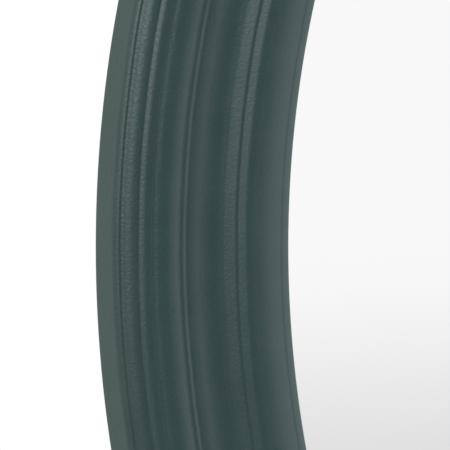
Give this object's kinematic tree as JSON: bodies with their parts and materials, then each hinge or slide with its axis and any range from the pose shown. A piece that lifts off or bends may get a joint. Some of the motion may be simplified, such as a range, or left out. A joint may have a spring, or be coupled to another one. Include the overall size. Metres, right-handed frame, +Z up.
{
  "type": "round wall mirror",
  "caption": "Round wall mirror in a wide dark teal frame moulded with beads, steps and coves, with the pane held from behind by turn buttons.",
  "frame": {"origin": "centre of the mirror on the wall plane, which the four bumpers touch", "axes": "+Y into the wall, along the axis of the round frame; the mirror faces -Y; +Z up; +X to the right as seen from the front"},
  "size_m": [0.7619, 0.023, 0.762],
  "materials": {
    "painted_frame": "satin",
    "mirror": "polished",
    "foam": "matte",
    "hardboard": "matte",
    "zinc_steel": "satin",
    "bumper_rubber": "matte"
  },
  "bodies": {
    "mirror": {"frame_moulding": "painted_frame", "rebate_tape": "foam", "mirror_glass": "mirror", "glass_edge_spacers": "foam", "cushion_sheet": "foam", "backing_board": "hardboard", "turn_button_screws": "zinc_steel", "hanger_strap_left": "zinc_steel", "hanger_strap_right": "zinc_steel", "hanger_screws": "zinc_steel", "wall_bumper_1": "bumper_rubber", "wall_bumper_2": "bumper_rubber", "wall_bumper_3": "bumper_rubber", "wall_bumper_4": "bumper_rubber"},
    "turn_button_1": {"turn_button_1": "zinc_steel"},
    "turn_button_2": {"turn_button_2": "zinc_steel"},
    "turn_button_3": {"turn_button_3": "zinc_steel"},
    "turn_button_4": {"turn_button_4": "zinc_steel"},
    "turn_button_5": {"turn_button_5": "zinc_steel"},
    "turn_button_6": {"turn_button_6": "zinc_steel"},
    "turn_button_7": {"turn_button_7": "zinc_steel"},
    "turn_button_8": {"turn_button_8": "zinc_steel"},
    "d_ring_left": {"d_ring_left": "zinc_steel"},
    "d_ring_right": {"d_ring_right": "zinc_steel"}
  },
  "joints": [
    {"name": "turn_button_1_turn", "type": "hinge", "parent": "mirror", "child": "turn_button_1", "pos_m": [0.343, -0.00435, 0], "axis": [0, 1, 0], "continuous": true},
    {"name": "turn_button_2_turn", "type": "hinge", "parent": "mirror", "child": "turn_button_2", "pos_m": [0.24254, -0.00435, 0.24254], "axis": [0, 1, 0], "continuous": true},
    {"name": "turn_button_3_turn", "type": "hinge", "parent": "mirror", "child": "turn_button_3", "pos_m": [0, -0.00435, 0.343], "axis": [0, 1, 0], "continuous": true},
    {"name": "turn_button_4_turn", "type": "hinge", "parent": "mirror", "child": "turn_button_4", "pos_m": [-0.24254, -0.00435, 0.24254], "axis": [0, 1, 0], "continuous": true},
    {"name": "turn_button_5_turn", "type": "hinge", "parent": "mirror", "child": "turn_button_5", "pos_m": [-0.343, -0.00435, 0], "axis": [0, 1, 0], "continuous": true},
    {"name": "turn_button_6_turn", "type": "hinge", "parent": "mirror", "child": "turn_button_6", "pos_m": [-0.24254, -0.00435, -0.24254], "axis": [0, 1, 0], "continuous": true},
    {"name": "turn_button_7_turn", "type": "hinge", "parent": "mirror", "child": "turn_button_7", "pos_m": [0, -0.00435, -0.343], "axis": [0, 1, 0], "continuous": true},
    {"name": "turn_button_8_turn", "type": "hinge", "parent": "mirror", "child": "turn_button_8", "pos_m": [0.24254, -0.00435, -0.24254], "axis": [0, 1, 0], "continuous": true},
    {"name": "d_ring_left_swing", "type": "hinge", "parent": "mirror", "child": "d_ring_left", "pos_m": [-0.33, -0.00287, 0.148], "axis": [-1, 0, 0], "range_deg": [0, 175]},
    {"name": "d_ring_right_swing", "type": "hinge", "parent": "mirror", "child": "d_ring_right", "pos_m": [0.33, -0.00287, 0.148], "axis": [-1, 0, 0], "range_deg": [0, 175]}
  ]
}
